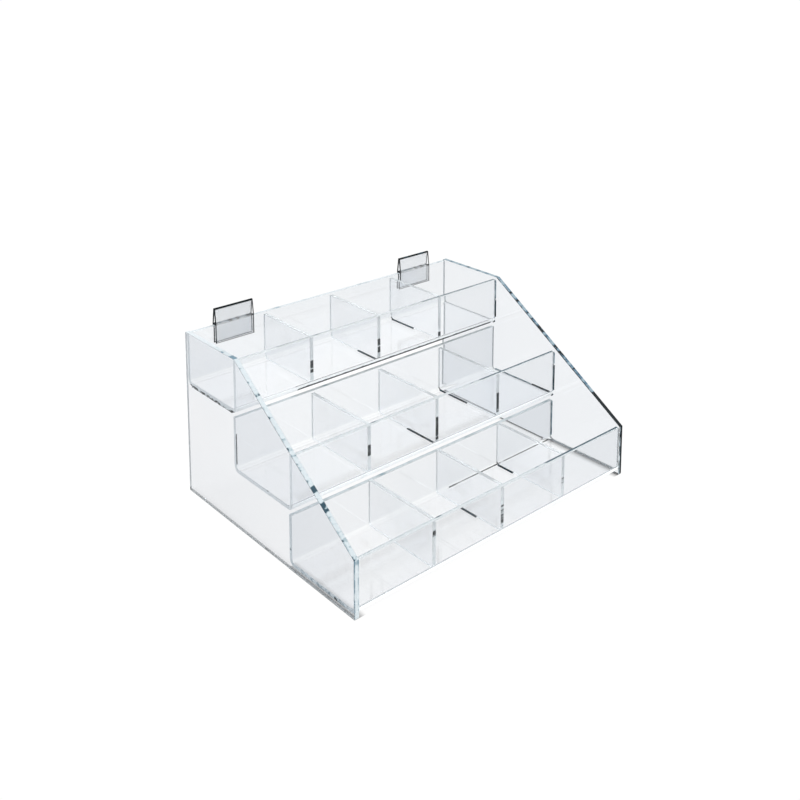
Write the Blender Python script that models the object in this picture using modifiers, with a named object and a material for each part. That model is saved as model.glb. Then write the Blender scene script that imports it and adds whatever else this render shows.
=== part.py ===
"""Tiered counter riser: three clear acrylic trays stepped between two side panels,
nine dividers making twelve compartments, and two push-on sign clips.

Metres, +Z up, +Y towards the back, +X towards the viewer's right.
The origin is on the counter, under the middle of the whole object.
"""

import math
from typing import NamedTuple

import bpy

MM = 0.001

# ---------------------------------------------------------------- side panels
WIDTH = 406.4 * MM            # outside face to outside face
DEPTH = 304.8 * MM            # front edge to back edge
HEIGHT = 192.0 * MM           # counter to top edge
FRONT_H = 60.2 * MM           # height of the short front edge
TOP_FLAT = 102.0 * MM         # depth of the level top edge

# ---------------------------------------------------------------- sheet stock
SIDE_T = 5.7 * MM             # side panels
SHEET_T = 4.5 * MM            # trays and dividers
BEND_R = 3.5 * MM             # inside radius of the heat bends
BEND_STEPS = 7                # straight steps in a quarter turn
GAP = 0.3 * MM                # glue line between touching pieces
EDGE = 0.35 * MM              # eased edge left by polishing
EDGE_ANGLE = math.radians(35)  # only corners sharper than this are eased
WELD_DISTANCE = 0.01 * MM     # joins each cap to the rim

# ---------------------------------------------------------------- trays
PITCH = 101.6 * MM            # step from one tier to the next, front to back
LIP_SETBACK = 0.4 * MM        # bottom lip behind the panels' front edge
WALL_SETBACK = 2.0 * MM       # wall's front face behind the front face of the lip above
WALL_DROP = 4.4 * MM          # wall's top edge below the tray above
TOP_WALL_DROP = 1.0 * MM      # top tray's wall below the panels' top edge
TIERS = {
    # tier: (underside height, lip top height), front to back
    "bottom": (2.5 * MM, 59.6 * MM),
    "middle": (62.0 * MM, 122.0 * MM),
    "top": (128.7 * MM, 188.8 * MM),
}

# ---------------------------------------------------------------- dividers
DIVIDER_PLACES = ("left", "centre", "right")
CORNER_CLEARANCE = 0.2 * MM   # added to the bend radius at the lower corners
CORNER_STEPS = 5

# ---------------------------------------------------------------- sign clips
CLIP_X = 140.8 * MM           # middle of each clip from the centre line
CLIP_W = 52.0 * MM            # along the wall
CLIP_WALL = 0.9 * MM          # extrusion wall
CLIP_UP = 20.0 * MM           # jaws above the wall's top edge
CLIP_DOWN = 21.5 * MM         # legs below it
CLIP_SLIT = 0.4 * MM          # card slit between the two jaws
MOUTH_WIDEN = 0.3 * MM        # chamfer on each side of the slit's mouth
MOUTH_DEPTH = 0.35 * MM
JAW_TIP = 1.15 * MM           # half width of the closed jaws, at the top
JAW_TIP_DROP = 0.2 * MM       # outer corner of the tip below the apex
SHOULDER_OUT = 0.2 * MM       # next corner down, outside the tip
SHOULDER_DROP = 1.2 * MM      # and below the apex
JAW_ROOT_RISE = 1.0 * MM      # start of both jaw slopes above the web
FLARE = 0.3 * MM              # lead-in at the foot of each leg
FLARE_OUTER_RISE = 2.2 * MM   # top of the flare above the foot, outer face
FLARE_INNER_RISE = 2.4 * MM   # and inner face
FOOT_CHAMFER_W = 0.3 * MM     # on the foot's outer corner
FOOT_CHAMFER_H = 0.4 * MM
POCKET_FLOOR_IN = 0.9 * MM    # end of the pocket's floor, in from the leg's inner face
POCKET_FLOOR_RISE = 0.3 * MM  # floor above the web
POCKET_SIDE_IN = 0.2 * MM     # foot of the pocket's side, in from the leg's inner face
JAWS_CLOSED_H = 2.6 * MM      # apex down to the foot of the card slit

# ---------------------------------------------------------------- derived
INNER_W = WIDTH - 2 * SIDE_T
BEND_OUTER_R = BEND_R + SHEET_T
DIVIDER_PITCH = INNER_W / (len(DIVIDER_PLACES) + 1)
CLIP_INNER = SHEET_T / 2 + GAP                  # half the space between the legs
CLIP_HALF = CLIP_INNER + CLIP_WALL              # half depth of a clip above the flare
OVERHANG = CLIP_HALF + FLARE - SHEET_T / 2      # clip behind the panels' back edge
FRONT_Y = -(DEPTH + OVERHANG) / 2               # front edge of the side panels
BACK_Y = FRONT_Y + DEPTH
TOP_WALL_Z = HEIGHT - TOP_WALL_DROP             # top edge of the top tray's wall


class Finish(NamedTuple):
    colour: tuple
    roughness: float


SIDE_FINISH = Finish(colour=(0.93, 0.95, 0.955), roughness=0.04)
TRAY_FINISH = Finish(colour=(0.95, 0.965, 0.97), roughness=0.04)
DIVIDER_FINISH = Finish(colour=(0.93, 0.95, 0.96), roughness=0.05)
CLIP_FINISH = Finish(colour=(0.88, 0.90, 0.92), roughness=0.12)


class Tray(NamedTuple):
    """Outer faces and edges of a tray's section."""
    lip_y: float      # front face of the lip
    wall_y: float     # back face of the wall
    under: float      # underside
    lip_top: float
    wall_top: float


def clear_scene():
    for obj in list(bpy.data.objects):
        bpy.data.objects.remove(obj, do_unlink=True)


def collection(name):
    made = bpy.data.collections.new(name)
    bpy.context.scene.collection.children.link(made)
    return made


def clear_plastic(name, finish):
    mat = bpy.data.materials.new(name)
    mat.use_nodes = True
    settings = {
        "Base Color": (*finish.colour, 1.0),
        "Roughness": finish.roughness,
        "Metallic": 0.0,
        "IOR": 1.49,
        "Transmission Weight": 0.9,
    }
    bsdf = mat.node_tree.nodes["Principled BSDF"]
    for socket, value in settings.items():
        bsdf.inputs[socket].default_value = value
    return mat


def arc(centre_y, centre_z, radius, start, end, steps=BEND_STEPS):
    """Points on an arc in the Y-Z plane, from start to end in degrees."""
    points = []
    for i in range(steps + 1):
        angle = math.radians(start + (end - start) * i / steps)
        points.append((centre_y + radius * math.cos(angle),
                       centre_z + radius * math.sin(angle)))
    return points


def ease_edges(obj):
    bevel = obj.modifiers.new("eased_edges", "BEVEL")
    bevel.width = EDGE
    bevel.segments = 1
    bevel.limit_method = "ANGLE"
    bevel.angle_limit = EDGE_ANGLE


def extrusion(name, outline, length, centre_x, finish, parts):
    """A flat outline in the Y-Z plane, given thickness along X."""
    curve = bpy.data.curves.new(name, "CURVE")
    curve.dimensions = "2D"
    curve.fill_mode = "BOTH"
    curve.extrude = length / 2
    spline = curve.splines.new("POLY")
    spline.points.add(len(outline) - 1)
    for point, (y, z) in zip(spline.points, outline):
        point.co = (y, z, 0.0, 1.0)
    spline.use_cyclic_u = True
    curve.materials.append(clear_plastic(name, finish))

    obj = bpy.data.objects.new(name, curve)
    # Turns the curve's own x, y, z to the scene's Y, Z, X.
    obj.rotation_euler = (math.pi / 2, 0.0, math.pi / 2)
    obj.location = (centre_x, 0.0, 0.0)
    weld = obj.modifiers.new("join_caps", "WELD")
    weld.merge_threshold = WELD_DISTANCE
    parts.objects.link(obj)
    return obj


def side_outline():
    return [
        (FRONT_Y, 0.0),
        (BACK_Y, 0.0),
        (BACK_Y, HEIGHT),
        (BACK_Y - TOP_FLAT, HEIGHT),
        (FRONT_Y, FRONT_H),
    ]


def tray_sections():
    """Each tier's name with its Tray, front to back."""
    heights = list(TIERS.values())
    sections = {}
    for step, (tier, (under, lip_top)) in enumerate(TIERS.items()):
        lip_y = FRONT_Y + LIP_SETBACK + PITCH * step
        if tier == "top":
            wall_y, wall_top = BACK_Y, TOP_WALL_Z
        else:
            wall_y = lip_y + PITCH + WALL_SETBACK + SHEET_T
            wall_top = heights[step + 1][0] - WALL_DROP
        sections[tier] = Tray(lip_y, wall_y, under, lip_top, wall_top)
    return sections


def tray_outline(tray):
    """U section with two heat bends: down the lip, along the floor, up the wall."""
    front_y = tray.lip_y + BEND_OUTER_R
    back_y = tray.wall_y - BEND_OUTER_R
    bend_z = tray.under + BEND_OUTER_R
    return [
        (tray.lip_y, tray.lip_top),
        *arc(front_y, bend_z, BEND_OUTER_R, 180, 270),
        *arc(back_y, bend_z, BEND_OUTER_R, 270, 360),
        (tray.wall_y, tray.wall_top),
        (tray.wall_y - SHEET_T, tray.wall_top),
        *arc(back_y, bend_z, BEND_R, 360, 270),
        *arc(front_y, bend_z, BEND_R, 270, 180),
        (tray.lip_y + SHEET_T, tray.lip_top),
    ]


def divider_outline(tray):
    """Plate between lip and wall, its lower corners cleared for the bends."""
    front = tray.lip_y + SHEET_T + GAP
    back = tray.wall_y - SHEET_T - GAP
    radius = BEND_R + CORNER_CLEARANCE
    corner_z = tray.under + SHEET_T + GAP + radius
    return [
        (front, tray.lip_top),
        *arc(front + radius, corner_z, radius, 180, 270, CORNER_STEPS),
        *arc(back - radius, corner_z, radius, 270, 360, CORNER_STEPS),
        (back, tray.lip_top),
    ]


def clip_outline():
    """Two jaws over a web, and two legs that straddle the top tray's wall."""
    middle = BACK_Y - SHEET_T / 2
    web_under = TOP_WALL_Z + GAP
    web_top = web_under + CLIP_WALL
    apex = TOP_WALL_Z + CLIP_UP
    foot = TOP_WALL_Z - CLIP_DOWN
    slit = CLIP_SLIT / 2
    flared = CLIP_HALF + FLARE

    # Back half of the section: (distance behind the wall's mid-plane, height).
    outside = [
        (slit, apex - MOUTH_DEPTH),
        (slit + MOUTH_WIDEN, apex),
        (JAW_TIP, apex - JAW_TIP_DROP),
        (JAW_TIP + SHOULDER_OUT, apex - SHOULDER_DROP),
        (CLIP_HALF, web_top + JAW_ROOT_RISE),
        (CLIP_HALF, foot + FLARE_OUTER_RISE),
        (flared, foot + FOOT_CHAMFER_H),
        (flared - FOOT_CHAMFER_W, foot),
        (CLIP_INNER + FLARE, foot),
        (CLIP_INNER, foot + FLARE_INNER_RISE),
        (CLIP_INNER, web_under),
    ]
    pocket = [
        (CLIP_INNER - POCKET_FLOOR_IN, web_top + POCKET_FLOOR_RISE),
        (CLIP_INNER - POCKET_SIDE_IN, web_top + JAW_ROOT_RISE),
        (slit, apex - JAWS_CLOSED_H),
    ]

    def back(half):
        return [(middle + y, z) for y, z in half]

    def front(half):
        return [(middle - y, z) for y, z in reversed(half)]

    return back(outside) + front(outside) + front(pocket) + back(pocket)


def build_sides(parts):
    for side, sign in (("left", -1), ("right", 1)):
        ease_edges(extrusion(f"side_panel_{side}", side_outline(), SIDE_T,
                             sign * (WIDTH - SIDE_T) / 2, SIDE_FINISH, parts))


def build_tiers(parts):
    for tier, tray in tray_sections().items():
        ease_edges(extrusion(f"tray_{tier}", tray_outline(tray), INNER_W - 2 * GAP,
                             0.0, TRAY_FINISH, parts))
        for i, place in enumerate(DIVIDER_PLACES):
            ease_edges(extrusion(f"divider_{tier}_{place}", divider_outline(tray), SHEET_T,
                                 DIVIDER_PITCH * (i - 1), DIVIDER_FINISH, parts))


def build_clips(parts):
    for side, sign in (("left", -1), ("right", 1)):
        extrusion(f"sign_clip_{side}", clip_outline(), CLIP_W, sign * CLIP_X,
                  CLIP_FINISH, parts)


def main():
    clear_scene()
    parts = collection("tiered_shelf_riser")
    build_sides(parts)
    build_tiers(parts)
    build_clips(parts)


main()
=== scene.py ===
import math

import bmesh
import bpy
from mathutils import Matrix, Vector


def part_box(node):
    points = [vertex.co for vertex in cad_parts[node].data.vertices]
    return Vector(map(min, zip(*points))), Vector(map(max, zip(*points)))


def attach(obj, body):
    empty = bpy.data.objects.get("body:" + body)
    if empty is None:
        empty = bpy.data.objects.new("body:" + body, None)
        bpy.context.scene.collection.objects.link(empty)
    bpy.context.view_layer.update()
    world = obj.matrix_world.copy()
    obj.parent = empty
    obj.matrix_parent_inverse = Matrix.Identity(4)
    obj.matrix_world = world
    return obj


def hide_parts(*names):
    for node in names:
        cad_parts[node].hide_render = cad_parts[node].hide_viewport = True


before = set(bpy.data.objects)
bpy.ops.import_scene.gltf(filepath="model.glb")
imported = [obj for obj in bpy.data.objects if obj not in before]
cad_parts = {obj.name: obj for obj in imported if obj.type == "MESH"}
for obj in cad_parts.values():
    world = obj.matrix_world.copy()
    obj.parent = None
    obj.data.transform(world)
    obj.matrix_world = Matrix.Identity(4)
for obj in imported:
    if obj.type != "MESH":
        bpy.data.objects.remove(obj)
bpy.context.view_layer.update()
MM = 0.001

# ------------------------------------------------------------------ finish of the pieces
IOR = 1.49                 # cast acrylic
BEND_STEPS = 18            # straight steps in a quarter turn of a heat bend
EASE = 0.38 * MM           # polished edge


# ================================================================== node helpers
class Tree:
    """Small helper that adds and wires shader nodes."""

    def __init__(self, tree):
        self.tree = tree
        for node in list(tree.nodes):
            tree.nodes.remove(node)

    def add(self, kind, values=None, **props):
        node = self.tree.nodes.new(kind)
        for key, value in props.items():
            setattr(node, key, value)
        for key, value in (values or {}).items():
            socket = node.inputs[key]
            if isinstance(value, bpy.types.NodeSocket):
                self.tree.links.new(value, socket)
            elif isinstance(value, tuple) and len(value) == 3 and len(socket.default_value) == 4:
                socket.default_value = (*value, 1.0)
            else:
                socket.default_value = value
        return node

    def maths(self, operation, a, b=0.0, c=0.0, clamp=False):
        node = self.tree.nodes.new("ShaderNodeMath")
        node.operation = operation
        node.use_clamp = clamp
        for socket, value in zip(node.inputs, (a, b, c)):
            if isinstance(value, bpy.types.NodeSocket):
                self.tree.links.new(value, socket)
            else:
                socket.default_value = value
        return node.outputs[0]

    def ramp(self, value, low, high, to_low=0.0, to_high=1.0):
        node = self.add("ShaderNodeMapRange", {0: value, 1: low, 2: high, 3: to_low, 4: to_high},
                        interpolation_type="SMOOTHSTEP")
        return node.outputs[0]

    def mix(self, share, a, b):
        node = self.tree.nodes.new("ShaderNodeMix")
        node.data_type = "RGBA"
        for socket, value in ((node.inputs[0], share), (node.inputs[6], a), (node.inputs[7], b)):
            if isinstance(value, bpy.types.NodeSocket):
                self.tree.links.new(value, socket)
            else:
                socket.default_value = (*value, 1.0) if isinstance(value, tuple) else value
        return node.outputs[2]

    def noise(self, where, scale, detail=3.0, rough=0.5):
        return self.add("ShaderNodeTexNoise", {"Vector": where, "Scale": scale, "Detail": detail,
                                               "Roughness": rough}).outputs["Fac"]

    def stretched(self, where, scale):
        return self.add("ShaderNodeMapping", {"Vector": where, "Scale": scale}).outputs[0]


def windows_of(t, where, windows):
    """A socket that rises by push inside each box. A box names its axes, and is open along the rest."""
    total = None
    xyz = t.add("ShaderNodeSeparateXYZ", {0: where})
    for push, box in windows:
        inside = None
        for axis, low, high in box:
            value = xyz.outputs[axis]
            fade = min(0.002, (high - low) * 0.2)
            part = t.maths("MULTIPLY", t.ramp(value, low - fade, low + fade),
                           t.ramp(value, high - fade, high + fade, 1.0, 0.0))
            inside = part if inside is None else t.maths("MULTIPLY", inside, part)
        inside = t.maths("MULTIPLY", inside, push)
        total = inside if total is None else t.maths("ADD", total, inside)
    return total


def acrylic(name, tint, other, absorb, density, rough=(0.0, 0.0), haze=(0.0, 0.0), wave=0.0,
            scratch=0.0, lines=None, shaded_stretches=(), lift=0.0):
    """Clear sheet: tinted glass with a faint mottled haze, slow waviness and hairline scratches. The haze
    also glows, a painted glow that stands for the light its film scatters.

    haze is the least and the most that the surface film shows, lift an even painted glow for the light
    it scatters everywhere, and inked lists the stretches along its cut edges that look dark from
    inside, which are painted near-black as painted shade."""
    mat = bpy.data.materials.new(name)
    mat.use_nodes = True
    t = Tree(mat.node_tree)
    where = t.add("ShaderNodeTexCoord").outputs["Object"]
    cloud = t.noise(where, 9.0, 2.0)
    colour = t.mix(t.ramp(cloud, 0.35, 0.65), tint, other)
    smear = t.noise(t.stretched(where, (1.0, 1.0, 1.6)), 13.0, 2.5, 0.5)
    hair = t.noise(t.stretched(where, (700.0, 12.0, 420.0)), 1.0, 1.0)
    hairs = t.ramp(hair, 0.70, 0.76)
    film = t.maths("ADD", t.ramp(smear, 0.38, 0.68, haze[0], haze[1]), t.maths("MULTIPLY", hairs, scratch))
    roughness = t.ramp(smear, 0.45, 0.75, rough[0], rough[1])
    height = t.maths("MULTIPLY", t.noise(where, 14.0, 1.0), wave)
    if lines:
        rib = t.noise(t.stretched(where, lines), 1.0, 2.0)
        height = t.maths("ADD", height, t.maths("MULTIPLY", rib, 0.00002))
        film = t.maths("ADD", film, t.ramp(rib, 0.55, 0.7, 0.0, 0.10))
    colour = t.mix(t.maths("MINIMUM", film, 1.0), colour, (0.80, 0.83, 0.86))
    # Emission: a painted glow from the haze, plus the even painted glow lift.
    light = t.maths("MULTIPLY_ADD", film, 0.32, lift)
    # Painted shade: the listed edge stretches are made near-black and stop glowing.
    if shaded_stretches:
        edge_shade = t.maths("MINIMUM", windows_of(t, where, shaded_stretches), 1.0)
        colour = t.mix(edge_shade, colour, SHADE_BLACK)
        film = t.maths("MAXIMUM", film, edge_shade)
        light = t.maths("MULTIPLY", light, t.maths("SUBTRACT", 1.0, edge_shade))
    bump = t.add("ShaderNodeBump", {"Strength": 1.0, "Distance": 1.0, "Height": height})
    shader = t.add("ShaderNodeBsdfPrincipled", {
        "Base Color": colour, "Roughness": roughness, "IOR": IOR,
        "Transmission Weight": t.maths("SUBTRACT", 1.0, film, clamp=True), "Normal": bump.outputs[0],
        "Emission Color": (0.80, 0.83, 0.86), "Emission Strength": light,
        "Specular IOR Level": t.maths("SUBTRACT", 0.5, t.maths("MULTIPLY", film, 0.4), clamp=True)})
    inside = t.add("ShaderNodeVolumeAbsorption", {"Color": absorb, "Density": density})
    out = t.add("ShaderNodeOutputMaterial")
    t.tree.links.new(shader.outputs[0], out.inputs["Surface"])
    t.tree.links.new(inside.outputs[0], out.inputs["Volume"])
    return mat


def edge(name, light, mid, dark, cover, solid, scale, windows=(), piped=0.22, streak=1.0):
    """Cut and polished edge: clear at heart, with light, tinted and dark streaks that follow the edge. The
    streaks are painted light and painted shade for what the edge refracts and reflects.

    cover is how much of it stays light, solid how little shows through, and scale how fast the
    streaks change along each axis, per metre. Each window pushes a box towards dark, painted shade.
    piped is an emission, a painted glow for the light that the sheet carries to its own edge, and
    streak how strong the streaks are."""
    mat = bpy.data.materials.new(name)
    mat.use_nodes = True
    t = Tree(mat.node_tree)
    where = t.add("ShaderNodeTexCoord").outputs["Object"]
    level = t.noise(t.stretched(where, tuple(float(v) for v in scale)), 1.0, 2.0, 0.6)
    level = t.maths("MULTIPLY_ADD", level, streak, 0.5 - 0.5 * streak)
    if windows:
        level = t.maths("ADD", level, windows_of(t, where, windows))
    tinted = t.ramp(level, cover - 0.12, cover - 0.02)
    deep = t.ramp(level, cover, cover + 0.04)
    grain = t.noise(t.stretched(where, (700.0, 700.0, 700.0)), 1.0, 1.0)
    tone = t.mix(t.ramp(grain, 0.3, 0.7, 0.0, 0.25), light, mid)
    colour = t.mix(deep, t.mix(tinted, tone, mid), dark)
    body = t.add("ShaderNodeBsdfPrincipled", {
        "Base Color": colour, "Roughness": 0.28, "IOR": IOR, "Specular IOR Level": 0.12,
        "Emission Color": colour, "Emission Strength": piped})
    clear = t.add("ShaderNodeBsdfPrincipled", {
        "Base Color": (0.95, 0.97, 0.98), "Roughness": 0.02, "IOR": IOR, "Transmission Weight": 1.0})
    share = t.maths("MAXIMUM", solid, t.maths("MULTIPLY", deep, 0.96))
    both = t.add("ShaderNodeMixShader", {0: share, 1: clear.outputs[0], 2: body.outputs[0]})
    t.add("ShaderNodeOutputMaterial", {"Surface": both.outputs[0]})
    return mat


# ================================================================== geometry helpers
def arc(cy, cz, radius, start, end, steps=BEND_STEPS):
    out = []
    for i in range(steps + 1):
        a = math.radians(start + (end - start) * i / steps)
        out.append((cy + radius * math.cos(a), cz + radius * math.sin(a)))
    return out


def rounded(points, radius, steps=4):
    """The polygon with each corner turned into a small arc."""
    out = []
    for i, (y, z) in enumerate(points):
        here = Vector((y, z))
        before = (Vector(points[i - 1]) - here).normalized()
        after = (Vector(points[(i + 1) % len(points)]) - here).normalized()
        half = before.angle(after) / 2
        r = radius(i) if callable(radius) else radius
        if r <= 0:
            out.append((y, z))
            continue
        reach = r / math.tan(half)
        middle = here + (before + after).normalized() * (r / math.sin(half))
        a = here + before * reach - middle
        b = here + after * reach - middle
        turn = a.angle_signed(b)
        for k in range(steps + 1):
            s = -turn * k / steps
            out.append((middle.x + a.x * math.cos(s) - a.y * math.sin(s),
                        middle.y + a.x * math.sin(s) + a.y * math.cos(s)))
    return out


def prism(name, outline, x0, x1, cuts=1):
    """A closed Y-Z outline carried from x0 to x1, with the sides in cuts lengths and both ends filled."""
    bm = bmesh.new()
    rings = []
    for c in range(cuts + 1):
        x = x0 + (x1 - x0) * c / cuts
        rings.append([bm.verts.new((x, y, z)) for y, z in outline])
    count = len(outline)
    for a, b in zip(rings, rings[1:]):
        for i in range(count):
            j = (i + 1) % count
            bm.faces.new((a[i], a[j], b[j], b[i]))
    bm.faces.new(list(reversed(rings[0])))
    bm.faces.new(rings[-1])
    bmesh.ops.recalc_face_normals(bm, faces=bm.faces)
    for face in bm.faces:
        face.smooth = True
    mesh = bpy.data.meshes.new(name)
    bm.to_mesh(mesh)
    bm.free()
    obj = bpy.data.objects.new(name, mesh)
    bpy.context.scene.collection.objects.link(obj)
    return obj


def ease(obj, width=EASE, segments=3, angle=35):
    bevel = obj.modifiers.new("eased_edges", "BEVEL")
    bevel.width = width
    bevel.segments = segments
    bevel.limit_method = "ANGLE"
    bevel.angle_limit = math.radians(angle)
    bevel.use_clamp_overlap = True
    even = obj.modifiers.new("even_shading", "WEIGHTED_NORMAL")
    even.mode = "FACE_AREA"
    even.weight = 100
    return obj


def bead(name, path, x, side, leg, mat):
    """A small fillet of cement in the corner between a face and an upright sheet at x, drawn in
    materials painted with shade.

    path runs along the corner as (y, z, normal y, normal z), and side is the way out of the sheet."""
    bm = bmesh.new()
    off = 0.05 * MM
    rings = []
    for y, z, ny, nz in path:
        rings.append([bm.verts.new((x + side * a, y + ny * b, z + nz * b))
                      for a, b in ((off, off), (off, leg), (leg * 0.45, leg * 0.45), (leg, off))])
    for a, b in zip(rings, rings[1:]):
        for i in range(4):
            j = (i + 1) % 4
            bm.faces.new((a[i], a[j], b[j], b[i]))
    bm.faces.new(list(reversed(rings[0])))
    bm.faces.new(rings[-1])
    bmesh.ops.recalc_face_normals(bm, faces=bm.faces)
    mesh = bpy.data.meshes.new(name)
    bm.to_mesh(mesh)
    bm.free()
    obj = bpy.data.objects.new(name, mesh)
    bpy.context.scene.collection.objects.link(obj)
    obj.data.materials.append(mat)
    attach(obj, "riser")
    return obj


def run(y0, z0, y1, z1, ny, nz, step=3 * MM):
    """A straight bead path."""
    n = max(2, round(math.hypot(y1 - y0, z1 - z0) / step))
    return [(y0 + (y1 - y0) * i / n, z0 + (z1 - z0) * i / n, ny, nz) for i in range(n + 1)]


def corners(node):
    """The CAD node's points as plain tuples."""
    return [tuple(v.co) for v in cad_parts[node].data.vertices]


def sort_faces(obj, rules):
    """Gives each face the first material whose rule accepts its normal and centre."""
    for face in obj.data.polygons:
        for index, rule in rules:
            if rule(face.normal, face.center):
                face.material_index = index
                break


def place(obj, node, body, materials):
    for mat in materials:
        obj.data.materials.append(mat)
    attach(obj, body)
    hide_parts(node)
    return obj


# ================================================================== materials
# The first colour is near-black, used for painted shade along edges and joints; the others are the tones the edges
# are painted in.
SHADE_BLACK = (0.004, 0.009, 0.012)
DEEP = (0.03, 0.065, 0.09)
TEAL = (0.11, 0.20, 0.26)
SLATE = (0.30, 0.39, 0.44)
GREY = (0.50, 0.57, 0.60)
LIGHT = (0.70, 0.76, 0.79)
PALE = (0.82, 0.86, 0.88)

ABSORB = (0.50, 0.73, 0.95)
# Painted shade: near-black bands at the cut ends of the sign clips.
CLIP_END_SHADE = [(1.0, [("X", low, low + 1.1 * MM)])
             for low in (-166.85 * MM, -115.85 * MM, 114.75 * MM, 165.75 * MM)]
# The left panel has a dark band painted at its foot, painted shade where it meets the counter.
PANEL_LEFT = acrylic("clear_panel_left", (0.975, 0.984, 1.0), (0.96, 0.972, 0.992), ABSORB, 2.0,
                     haze=(0.0, 0.006), wave=0.00002, scratch=0.012,
                     shaded_stretches=[(0.45, [("Z", -MM, 1.9 * MM)])])
# The right panel is a shaded copy of the same sheet: its darker tint is painted shade.
PANEL_RIGHT = acrylic("clear_panel_right_painted_shade", (0.915, 0.93, 0.948), (0.905, 0.922, 0.943), ABSORB, 2.0,
                      haze=(0.0, 0.008), wave=0.00002, scratch=0.012)
TRAY = acrylic("clear_tray", (0.99, 0.995, 1.0), (0.975, 0.985, 0.997), ABSORB, 2.0,
               haze=(0.0, 0.006), wave=0.00003, scratch=0.015)
# The tray walls are a shaded copy of the tray sheet: their darker tint is painted shade.
TRAY_WALL = acrylic("clear_tray_wall_painted_shade", (0.91, 0.925, 0.942), (0.885, 0.905, 0.925), ABSORB, 2.0,
                    haze=(0.0, 0.010), wave=0.00003, scratch=0.015)
# The dividers' haze carries an even glow (lift), painted light.
DIVIDER = acrylic("clear_divider", (0.985, 0.99, 0.998), (0.97, 0.979, 0.99), ABSORB, 2.0,
                  haze=(0.0, 0.10), wave=0.00002, scratch=0.02, lift=0.015)


def end_of_tray(tier, side, lo, hi, sheet):
    """The cut end of a tray where it meets a side panel, painted in light and dark tones that stand for
    light and shade, with the stretches where the joint shows dark pushed to painted shade. The right
    ends are painted darker than the left.
    """
    dark = {
        ("top", "right"): [(0.40, [("Y", lo.y - 0.001, lo.y + 0.0020), ("Z", 0.138, 0.161)]),
                           (0.16, [("Y", lo.y - 0.001, lo.y + 0.0018), ("Z", 0.161, 0.200)]),
                           (0.40, [("Y", lo.y, lo.y + 0.004), ("Z", lo.z, lo.z + 0.003)])],
        ("middle", "right"): [(0.40, [("Y", lo.y - 0.001, lo.y + 0.0020), ("Z", 0.073, 0.105)]),
                              (0.16, [("Y", lo.y - 0.001, lo.y + 0.0018), ("Z", 0.105, 0.130)]),
                              (0.22, [("Y", lo.y + 0.006, hi.y - 0.03), ("Z", lo.z + 0.0024, lo.z + 0.006)]),
                              (0.40, [("Y", lo.y + 0.004, lo.y + 0.030), ("Z", lo.z + 0.0022, lo.z + 0.006)])],
        ("bottom", "right"): [(0.12, [("Z", lo.z - 0.001, lo.z + 0.0050)]),
                              (0.20, [("Y", lo.y - 0.001, lo.y + 0.0018), ("Z", 0.006, 0.080)]),
                              (0.20, [("Y", hi.y - sheet - 0.001, hi.y - 0.002), ("Z", 0.006, 0.080)])],
        ("top", "left"): [(0.24, [("Z", lo.z - 0.001, lo.z + 0.0018)]),
                          (0.10, [("Y", hi.y - 0.02, hi.y), ("Z", lo.z, lo.z + 0.02)])],
        ("middle", "left"): [(0.14, [("Y", lo.y, lo.y + 0.060), ("Z", lo.z + 0.003, lo.z + 0.006)])],
        ("bottom", "left"): [(0.08, [("Y", hi.y - 0.0023, hi.y + 0.001)]), (0.12, [("Z", 0.0, 0.0072)])],
    }[(tier, side)]
    if side == "right":
        return edge(f"end_{tier}_right", LIGHT, GREY, SHADE_BLACK, 0.70, 0.80, (0, 130, 130), dark, 0.15)
    return edge(f"end_{tier}_left", LIGHT if tier == "bottom" else PALE,
                SLATE if tier == "bottom" else LIGHT, SHADE_BLACK, 0.74, 0.80, (0, 160, 160), dark, 0.34)


# From the lip back to the wall, as a share of a floor, and up a lip, as heights: where the joint of
# each divider ran dry and keeps a film of air. The dark look of these stretches is painted shade.
DRY_FLOOR_SHADED = {("top", "right"): (0.50, 0.98), ("top", "centre"): (0.02, 0.42),
             ("middle", "right"): (0.50, 0.98), ("middle", "centre"): (0.02, 0.49),
             ("bottom", "right"): (0.70, 0.96), ("bottom", "centre"): (0.38, 0.62)}
DRY_LIP_SHADED = {("top", "left"): (0.1456, 0.1610), ("top", "centre"): (0.1420, 0.1600),
           ("top", "right"): (0.1360, 0.1430), ("middle", "left"): (0.0860, 0.0995),
           ("middle", "centre"): (0.0715, 0.0990), ("middle", "right"): (0.0730, 0.0970),
           ("bottom", "left"): (0.0385, 0.0490), ("bottom", "centre"): (0.0120, 0.0420),
           ("bottom", "right"): (0.0250, 0.0330)}


def foot_of_divider(tier, where, lo, hi):
    # The foot is painted in light and dark tones for light and shade; along a dry stretch it is pushed to
    # near-black, painted shade.
    if (tier, where) not in DRY_FLOOR_SHADED:
        return edge(f"foot_{tier}_{where}", PALE, LIGHT, GREY, 0.72, 0.85, (0, 28, 28), (), 0.62)
    a, b = DRY_FLOOR_SHADED[(tier, where)]
    y0, y1 = lo.y + (hi.y - lo.y) * a, lo.y + (hi.y - lo.y) * b
    return edge(f"foot_{tier}_{where}", PALE, LIGHT, SHADE_BLACK, 0.72, 0.85, (0, 160, 0),
                [(0.40, [("Y", y0, y1)])], 0.62)


def lip_edge_of_divider(tier, where):
    # The divider's front edge is painted in light and dark tones, pushed to painted shade along the dry stretch of
    # the lip.
    low, high = DRY_LIP_SHADED[(tier, where)]
    push = 0.18 if tier == "bottom" else 0.30
    return edge(f"lip_edge_{tier}_{where}", PALE, LIGHT, SHADE_BLACK, 0.66, 0.70, (0, 0, 190),
                [(push, [("Z", low, high)])], 0.25)


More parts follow.
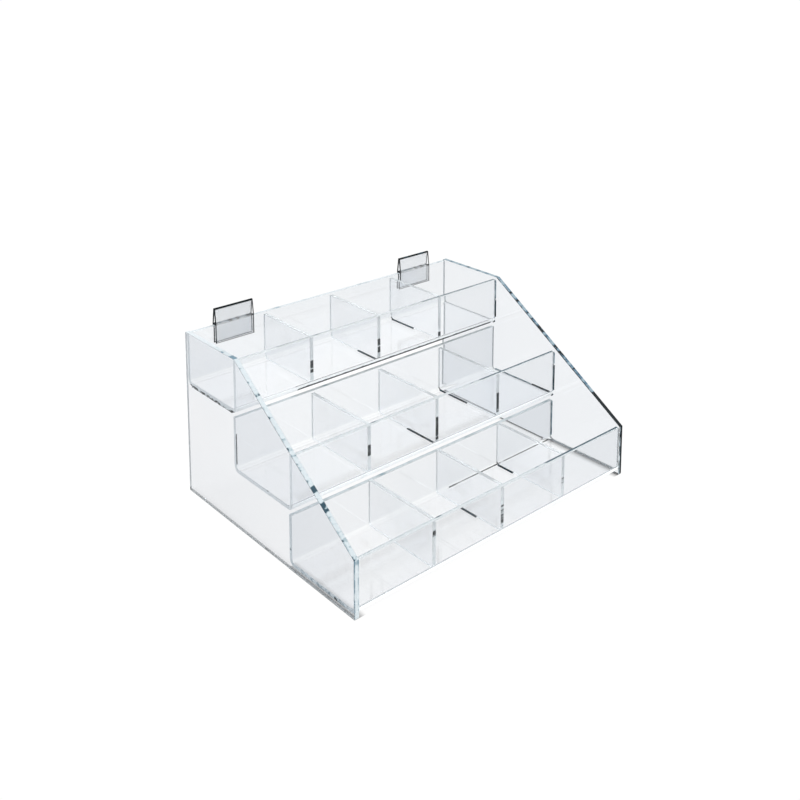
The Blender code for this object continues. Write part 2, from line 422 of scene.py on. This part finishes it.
def top_of_lip(tier, lo, sheet):
    """Painted pale, with a thin line of painted shade along its back corner that turns dark towards
    the right.
    """
    back = lo.y + sheet
    push = 0.22 if tier == "top" else 0.36
    return edge(f"lip_top_{tier}", (0.60, 0.645, 0.665), (0.40, 0.47, 0.50), DEEP, 0.68, 0.55, (26, 0, 0),
                [(0.14, [("Y", back - 0.0018, back + 0.001)]),
                 (push, [("X", 0.070, 0.30), ("Y", back - 0.0026, back + 0.001)])], 0.25, 0.5)


def front_bend(tier, lo):
    """The outer curve of a lip's heat bend: all but lost against the counter. It is painted in pale
    tones, and the top tray's bend has a low near-black band of painted shade.
    """
    if tier == "top":
        return edge("bend_top", (0.93, 0.96, 0.98), PALE, SHADE_BLACK, 0.66, 0.80, (90, 0, 0),
                    [(0.36, [("X", -0.12, 0.19), ("Z", lo.z - 0.001, lo.z + 0.0046)])], 0.32, 0.6)
    return edge(f"bend_{tier}", (0.93, 0.96, 0.98), PALE, LIGHT, 0.74, 0.85, (40, 40, 40), (), 0.32)


def back_bend(tier, lo, sheet):
    """The inner curve under a wall, painted in light tones, which draws a fine line of painted shade
    where the lowest floor meets its wall.
    """
    z = lo.z + sheet
    if tier == "bottom":
        return edge("fold_bottom", PALE, GREY, SHADE_BLACK, 0.68, 0.10, (60, 0, 0),
                    [(0.24, [("X", 0.02, 0.19), ("Z", z + 0.0002, z + 0.0010)]),
                     (0.15, [("X", -0.09, 0.03), ("Z", z + 0.0002, z + 0.0010)])], 0.2, 0.35)
    return edge(f"fold_{tier}", PALE, LIGHT, GREY, 0.80, 0.10, (60, 0, 0), (), 0.3)


# Materials of the cement beads, dark with painted shade: deep, patchy and half shade.
CEMENT_DEEP_SHADE = edge("cement_painted_deep_shade", DEEP, SHADE_BLACK, SHADE_BLACK, 0.62, 0.90, (170, 170, 170), [], 0.0)
CEMENT_PATCHY_SHADE = edge("cement_patchy_painted_shade", LIGHT, SLATE, SHADE_BLACK, 0.50, 0.25, (260, 260, 260), [], 0.1)
CEMENT_HALF_SHADE = edge("cement_painted_half_shade", SLATE, TEAL, DEEP, 0.58, 0.85, (140, 140, 140), [], 0.08)

# Edge faces of the side panels, wall tops and dividers. Their light, teal and dark streaks are painted light and
# painted shade for what the polished edges refract; the right panel's edges are painted darker than the left's, and
# each panel's foot carries painted shade where it meets the counter.
SLOPE_LEFT = edge("slope_left", (0.60, 0.66, 0.69), (0.34, 0.43, 0.47), DEEP, 0.66, 0.84, (90, 190, 190), [
    (0.26, [("Y", -0.0900, -0.0845)]), (0.26, [("Y", -0.1085, -0.1005)]), (0.03, [("Y", -0.160, -0.112)]),
    (-0.05, [("Y", -0.020, 0.050)]), (0.08, [("X", -0.2040, -0.2016)])], streak=0.9)
TOP_LEFT = edge("top_left", (0.62, 0.67, 0.70), GREY, TEAL, 0.68, 0.84, (40, 60, 0), [
    (0.12, [("Y", 0.046, 0.092)]), (0.12, [("Y", 0.046, 0.060)])], streak=0.5)
FRONT_LEFT = edge("front_left", (0.64, 0.70, 0.73), SLATE, TEAL, 0.66, 0.84, (0, 0, 60), [
    (0.20, [("X", -0.2040, -0.2022)]), (0.10, [("X", -0.1990, -0.1970)])])
BACK_LEFT = edge("back_left", PALE, GREY, SHADE_BLACK, 0.70, 0.80, (0, 0, 60), [
    (0.5, [("Z", -0.002, 0.0035), ("X", -0.2040, -0.1995)]), (0.12, [("X", -0.2040, -0.2022)])])
FOOT_LEFT = edge("foot_left", GREY, SLATE, DEEP, 0.60, 0.80, (0, 60, 0), [], 0.15)
SLOPE_RIGHT = edge("slope_right", SLATE, (0.09, 0.17, 0.24), SHADE_BLACK, 0.60, 0.94, (60, 110, 110), [
    (0.40, [("Y", -0.160, -0.110)]), (0.08, [("Y", -0.110, -0.02)]),
    (0.16, [("X", 0.1970, 0.1987)])], 0.10)
TOP_RIGHT = edge("top_right", SLATE, TEAL, DEEP, 0.60, 0.90, (0, 90, 0), [], 0.08)
FRONT_RIGHT = edge("front_right", LIGHT, SLATE, SHADE_BLACK, 0.62, 0.85, (0, 0, 70), [
    (0.16, [("X", 0.1970, 0.1989)]), (0.45, [("X", 0.1998, 0.2040)])], 0.12)
BACK_RIGHT = edge("back_right", LIGHT, SLATE, DEEP, 0.66, 0.6, (0, 0, 60))
FOOT_RIGHT = edge("foot_right", DEEP, SHADE_BLACK, SHADE_BLACK, 0.55, 0.98, (0, 160, 0), [(-0.08, [("Y", 0.060, 0.160)])], 0.0)
WALL_TOP = edge("wall_top", (0.64, 0.70, 0.73), GREY, SLATE, 0.62, 0.80, (30, 0, 0), [], 0.15)
DIVIDER_TOP = edge("divider_top", (0.57, 0.61, 0.63), (0.46, 0.52, 0.55), SLATE, 0.68, 0.60, (0, 70, 0), [], 0.22)
DIVIDER_EDGE = edge("divider_edge", (0.74, 0.79, 0.81), LIGHT, GREY, 0.70, 0.62, (0, 90, 90), [], 0.38)

# ================================================================== side panels
for side in ("left", "right"):
    node = f"side_panel_{side}"
    lo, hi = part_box(node)
    pts = corners(node)
    front_h = max(z for x, y, z in pts if y < lo.y + 0.2 * MM) + 0.35 * MM
    flat_y = min(y for x, y, z in pts if z > hi.z - 0.2 * MM) - 0.2 * MM
    outline = rounded([(lo.y, lo.z), (hi.y, lo.z), (hi.y, hi.z), (flat_y, hi.z), (lo.y, front_h)],
                      0.9 * MM)
    obj = prism(f"panel_{side}_sheet", outline, lo.x, hi.x)
    sort_faces(obj, [(0, lambda n, c: abs(n.x) > 0.5), (5, lambda n, c: n.z > 0.97),
                     (1, lambda n, c: n.z > 0.5), (2, lambda n, c: n.y < -0.5),
                     (3, lambda n, c: n.y > 0.5), (4, lambda n, c: True)])
    ease(obj, 0.4 * MM)
    if side == "left":
        mats = [PANEL_LEFT, SLOPE_LEFT, FRONT_LEFT, BACK_LEFT, FOOT_LEFT, TOP_LEFT]
    else:
        mats = [PANEL_RIGHT, SLOPE_RIGHT, FRONT_RIGHT, BACK_RIGHT, FOOT_RIGHT, TOP_RIGHT]
    place(obj, node, "riser", mats)

# ================================================================== trays and dividers
for tier in ("bottom", "middle", "top"):
    node = f"tray_{tier}"
    lo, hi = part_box(node)
    pts = corners(node)
    sheet = 4.5 * MM
    inner = 3.5 * MM
    outer = inner + sheet
    lip_top = max(z for x, y, z in pts if y < lo.y + sheet + 0.2 * MM)
    wall_top = max(z for x, y, z in pts if y > hi.y - sheet - 0.2 * MM)
    outline = [(lo.y, lip_top)]
    outline += arc(lo.y + outer, lo.z + outer, outer, 180, 270)
    outline += arc(hi.y - outer, lo.z + outer, outer, 270, 360)
    outline += [(hi.y, wall_top), (hi.y - sheet, wall_top)]
    outline += arc(hi.y - outer, lo.z + outer, inner, 360, 270)
    outline += arc(lo.y + outer, lo.z + outer, inner, 270, 180)
    outline += [(lo.y + sheet, lip_top)]
    obj = prism(f"bent_tray_{tier}", outline, lo.x, hi.x)
    sort_faces(obj, [(3, lambda n, c: n.x < -0.5), (4, lambda n, c: n.x > 0.5),
                     (1, lambda n, c: n.z > 0.9 and c.y < lo.y + sheet and c.z > lip_top - MM),
                     (2, lambda n, c: n.z > 0.9 and c.y > hi.y - sheet and c.z > wall_top - MM),
                     (5, lambda n, c: n.y < -0.04 and n.z < -0.04),
                     (6, lambda n, c: n.y < -0.04 and n.z > 0.04),
                     (7, lambda n, c: abs(n.y) > 0.9 and c.y > hi.y - sheet - MM)])
    ease(obj)
    place(obj, node, "riser", [
        TRAY, top_of_lip(tier, lo, sheet), WALL_TOP, end_of_tray(tier, "left", lo, hi, sheet),
        end_of_tray(tier, "right", lo, hi, sheet), front_bend(tier, lo), back_bend(tier, lo, sheet),
        TRAY_WALL])
    right_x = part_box("side_panel_right")[0].x
    floor_z, in_y0, in_y1 = lo.z + sheet, lo.y + outer, hi.y - outer
    if tier != "bottom":
        split = lo.z + (hi.z - lo.z) * (0.52 if tier == "top" else 0.68)
        bead(f"cement_{tier}_lip_low", run(lo.y, lo.z + outer + 1.5 * MM, lo.y, split, -1, 0), right_x, -1,
             1.25 * MM, CEMENT_DEEP_SHADE)
        bead(f"cement_{tier}_lip_high", run(lo.y, split + 2 * MM, lo.y, lip_top - MM, -1, 0), right_x, -1,
             0.85 * MM, CEMENT_HALF_SHADE)
        turn = [math.radians(a) for a in (208, 222, 236)]
        bead(f"cement_{tier}_lip_bend", [(lo.y + outer + outer * math.cos(a), lo.z + outer + outer * math.sin(a),
                                          math.cos(a), math.sin(a)) for a in turn], right_x, -1, 1.3 * MM, CEMENT_DEEP_SHADE)
    if tier == "middle":
        bead("cement_middle_floor", run(in_y1, floor_z, in_y0 + 0.032, floor_z, 0, 1), right_x, -1, 0.9 * MM, CEMENT_HALF_SHADE)
        bead("cement_middle_floor_front", run(in_y0 + 0.030, floor_z, in_y0, floor_z, 0, 1), right_x, -1,
             1.4 * MM, CEMENT_DEEP_SHADE)
        bead("cement_middle_wall_left", run(hi.y - sheet, 0.0715, hi.y - sheet, 0.106, -1, 0), -right_x, 1,
             1.3 * MM, CEMENT_DEEP_SHADE)
    if tier == "bottom":
        bead("cement_bottom_wall", run(hi.y - sheet, floor_z + 4 * MM, hi.y - sheet, wall_top - MM, -1, 0),
             right_x, -1, 1.0 * MM, CEMENT_HALF_SHADE)
        bead("cement_bottom_under", run(in_y1, lo.z, in_y0, lo.z, 0, -1), right_x, -1, 0.9 * MM, CEMENT_HALF_SHADE)
    if tier == "top":
        bead("cement_top_under_left", run(in_y1, lo.z, in_y0, lo.z, 0, -1), -right_x, 1, 1.1 * MM, CEMENT_PATCHY_SHADE)
    for where in ("left", "centre", "right"):
        dnode = f"divider_{tier}_{where}"
        dlo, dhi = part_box(dnode)
        r = 3.7 * MM
        outline = [(dlo.y, dhi.z)]
        outline += arc(dlo.y + r, dlo.z + r, r, 180, 270, 10)
        outline += arc(dhi.y - r, dlo.z + r, r, 270, 360, 10)
        outline += [(dhi.y, dhi.z)]
        obj = prism(f"partition_{tier}_{where}", outline, dlo.x, dhi.x)
        sort_faces(obj, [(0, lambda n, c: abs(n.x) > 0.5), (2, lambda n, c: n.z < -0.3),
                         (3, lambda n, c: n.y < -0.5), (4, lambda n, c: n.z > 0.5),
                         (1, lambda n, c: True)])
        ease(obj, 0.3 * MM)
        place(obj, dnode, "riser", [
            DIVIDER, DIVIDER_EDGE, foot_of_divider(tier, where, lo, hi), lip_edge_of_divider(tier, where),
            DIVIDER_TOP])
        if (tier, where) in DRY_FLOOR_SHADED:
            y0, y1 = (min(max(lo.y + (hi.y - lo.y) * v, in_y0), in_y1) for v in DRY_FLOOR_SHADED[(tier, where)])
            bead(f"cement_{tier}_{where}_foot", run(y0, floor_z, y1, floor_z, 0, 1), dlo.x, -1, 1.25 * MM, CEMENT_DEEP_SHADE)

# ================================================================== sign clips
for side in ("left", "right"):
    node = f"sign_clip_{side}"
    lo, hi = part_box(node)
    mid = (lo.y + hi.y) / 2
    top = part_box("tray_top")[1].z
    web0, web1 = top + 0.3 * MM, top + 1.2 * MM
    apex, foot = hi.z, lo.z
    inner, half = 2.55 * MM, 3.45 * MM
    right = [
        (0.2 * MM, apex - 0.35 * MM), (0.5 * MM, apex), (1.15 * MM, apex - 0.2 * MM),
        (1.35 * MM, apex - 1.2 * MM), (half, web1 + 1.0 * MM), (half, foot + 2.2 * MM),
        (half + 0.3 * MM, foot + 0.4 * MM), (half, foot), (inner + 0.3 * MM, foot),
        (inner, foot + 2.4 * MM), (inner, web0)]
    pocket = [(inner - 0.9 * MM, web1 + 0.3 * MM), (inner - 0.2 * MM, web1 + 1.0 * MM),
              (0.2 * MM, apex - 2.6 * MM)]
    outline = ([(mid + y, z) for y, z in right] + [(mid - y, z) for y, z in reversed(right)]
               + [(mid - y, z) for y, z in reversed(pocket)] + [(mid + y, z) for y, z in pocket])
    # The two clips are lit and shaded copies of one material: the left one's tint is painted darker, painted shade,
    # and the right one's lighter, painted light. Their ends, foot and apex are painted near-black, painted shade.
    shade = 0.91 if side == "left" else 0.96
    clear = acrylic(f"clear_clip_{side}", (shade, shade + 0.01, shade + 0.02),
                    (shade - 0.02, shade - 0.01, shade + 0.005), (0.5, 0.55, 0.6), 12.0,
                    (0.02, 0.06), (0.02, 0.10), 0.00001, 0.05, (3.0, 1500.0, 1500.0),
                    CLIP_END_SHADE + [(1.0, [("Z", foot - MM, foot + 0.7 * MM)]),
                                 (1.0, [("Z", apex - 1.9 * MM, apex + MM)])])
    # The clip's cut faces are painted near-black and its web in grey tones that darken near the ends: painted shade.
    cut = edge(f"clip_cut_{side}", DEEP, SHADE_BLACK, SHADE_BLACK, 0.45, 0.98, (60, 60, 60), [], 0.0)
    web = edge(f"clip_web_{side}", GREY, SLATE, SHADE_BLACK, 0.52, 0.55, (120, 0, 0), [
        (0.4, [("X", lo.x - MM, lo.x + 3 * MM)]), (0.4, [("X", hi.x - 3 * MM, hi.x + MM)])], 0.05)
    obj = prism(f"grip_{side}_extrusion", outline, lo.x, hi.x)
    sort_faces(obj, [(1, lambda n, c: abs(n.x) > 0.5), (1, lambda n, c: c.z > apex - 1.3 * MM),
                     (2, lambda n, c: web0 - 0.1 * MM < c.z < web1 + 1.2 * MM and abs(n.z) > 0.3),
                     (1, lambda n, c: c.z < foot + 0.6 * MM)])
    ease(obj, 0.12 * MM, 2, 25)
    place(obj, node, f"clip_{side}", [clear, cut, web])

# ================================================================== floor
COUNTER_IN_MIRROR = 0.42   # the counter is only lit near the object, so reflections of it are dim
COUNTER_SHADE = 0.040      # light the lowest tray keeps off the counter just under it
bm = bmesh.new()
bmesh.ops.create_circle(bm, cap_ends=True, radius=9.0, segments=96)
mesh = bpy.data.meshes.new("counter")
bm.to_mesh(mesh)
bm.free()
floor = bpy.data.objects.new("counter", mesh)
floor.location = (0, 0, -0.05 * MM)
bpy.context.scene.collection.objects.link(floor)
mat = bpy.data.materials.new("counter")
mat.use_nodes = True
t = Tree(mat.node_tree)
path = t.add("ShaderNodeLightPath")
mirrored = t.maths("GREATER_THAN", path.outputs["Glossy Depth"], 0.5)
xyz = t.add("ShaderNodeSeparateXYZ", {0: t.add("ShaderNodeTexCoord").outputs["Object"]})
low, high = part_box("tray_bottom")
under = t.maths("MULTIPLY", t.ramp(xyz.outputs[1], low.y, low.y + 0.012),
                t.ramp(xyz.outputs[1], high.y - 0.012, high.y + 0.004, 1.0, 0.0))
under = t.maths("MULTIPLY", under, t.maths("MULTIPLY", t.ramp(xyz.outputs[0], low.x, low.x + 0.01),
                                           t.ramp(xyz.outputs[0], high.x - 0.01, high.x, 1.0, 0.0)))
open_level = t.maths("SUBTRACT", 1.02, t.maths("MULTIPLY", under, COUNTER_SHADE))
# Painted shade on the counter behind the lowest tray.
covered = t.maths("MULTIPLY", t.maths("LESS_THAN", t.maths("ABSOLUTE", xyz.outputs[0]), high.x),
                  t.maths("MULTIPLY", t.ramp(xyz.outputs[1], low.y, low.y + 0.012),
                          t.ramp(xyz.outputs[1], 0.12, 0.16, 1.0, 0.0)))
open_level = t.maths("SUBTRACT", open_level, t.maths("MULTIPLY", covered, 0.03))
# Painted shade along the inner foot of each side panel: a narrow band on the right, and a wider one, strongest under
# the lowest tray.
across = t.maths("ABSOLUTE", xyz.outputs[0])
inner_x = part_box("side_panel_right")[0].x
outer_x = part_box("side_panel_right")[1].x
beside = t.maths("MULTIPLY", t.ramp(across, inner_x - 0.010, inner_x - 0.001), t.maths("LESS_THAN", across, outer_x))
right = t.maths("GREATER_THAN", xyz.outputs[0], 0.0)
close = t.maths("MULTIPLY", t.maths("MULTIPLY", t.ramp(across, inner_x - 0.0022, inner_x - 0.0008),
                                    t.maths("LESS_THAN", across, outer_x)), right)
span = t.maths("MULTIPLY", t.maths("GREATER_THAN", xyz.outputs[1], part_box("side_panel_right")[0].y),
               t.maths("LESS_THAN", xyz.outputs[1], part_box("side_panel_right")[1].y))
low_tray = t.maths("LESS_THAN", xyz.outputs[1], high.y)
foot = t.maths("MULTIPLY", span, t.maths("ADD", t.maths("MULTIPLY", close, 0.30), t.maths(
    "MULTIPLY", beside, t.maths("ADD", 0.06, t.maths("MULTIPLY", low_tray, 0.46)))))
open_level = t.maths("MULTIPLY", open_level, t.maths("SUBTRACT", 1.0, foot, clamp=True))
level = t.maths("ADD", t.maths("MULTIPLY", open_level, t.maths("SUBTRACT", 1.0, mirrored)),
                t.maths("MULTIPLY", mirrored, COUNTER_IN_MIRROR))
glow = t.add("ShaderNodeEmission", {"Color": (1.0, 1.0, 1.0), "Strength": level})
out = t.add("ShaderNodeOutputMaterial", {"Surface": glow.outputs[0]})
floor.data.materials.append(mat)

# ================================================================== world and lights
world = bpy.data.worlds.new("studio")
bpy.context.scene.world = world
world.use_nodes = True
t = Tree(world.node_tree)
direction = t.add("ShaderNodeTexCoord").outputs["Generated"]
xyz = t.add("ShaderNodeSeparateXYZ", {0: direction})
z = xyz.outputs[2]
level = t.ramp(z, 0.0, 0.12, 1.02, 1.15)
back = t.add("ShaderNodeBackground", {"Color": (1.0, 1.0, 1.0), "Strength": level})
t.add("ShaderNodeOutputWorld", {"Surface": back.outputs[0]})



def softbox(name, where, size, power):
    """A soft square light aimed at the middle of the riser, out of the camera's sight."""
    lamp = bpy.data.lights.new(name, "AREA")
    lamp.shape = "SQUARE"
    lamp.size = size
    lamp.energy = power
    obj = bpy.data.objects.new(name, lamp)
    bpy.context.scene.collection.objects.link(obj)
    obj.location = where
    obj.rotation_euler = (Vector((0.0, 0.0, 0.08)) - Vector(where)).to_track_quat("-Z", "Y").to_euler()
    obj.visible_camera = False
    obj.visible_transmission = False
    return obj


softbox("key_softbox", (-1.3, -1.5, 2.1), 1.6, 8.0)
softbox("fill_softbox", (1.9, -0.6, 1.5), 1.8, 4.0)

# ================================================================== camera
cam = bpy.data.cameras.new("camera")
camera = bpy.data.objects.new("camera", cam)
bpy.context.scene.collection.objects.link(camera)
camera.location = (-0.7466, -0.8410, 0.6335)
camera.rotation_euler = (math.radians(90 - 8.62), 0.0, math.radians(-41.09))
cam.sensor_width = 36.0
cam.lens = 46.175
bpy.context.scene.camera = camera
# The view is taken with a falling front, which keeps upright edges upright. It belongs to this
# station only: moved elsewhere, the camera goes back to a centred lens.
driver = cam.driver_add("shift_y").driver
driver.type = "SCRIPTED"
var = driver.variables.new()
var.name = "x"
var.type = "TRANSFORMS"
var.targets[0].id = camera
var.targets[0].transform_type = "LOC_X"
var.targets[0].transform_space = "WORLD_SPACE"
driver.expression = "-0.38515 if abs(x + 0.7466) < 0.0005 else 0.0"

scene = bpy.context.scene
scene.view_settings.view_transform = "Standard"
scene.view_settings.look = "None"
scene.cycles.max_bounces = 40
scene.cycles.transmission_bounces = 40
scene.cycles.glossy_bounces = 24
scene.cycles.transparent_max_bounces = 16
scene.cycles.caustics_reflective = True
scene.cycles.caustics_refractive = True
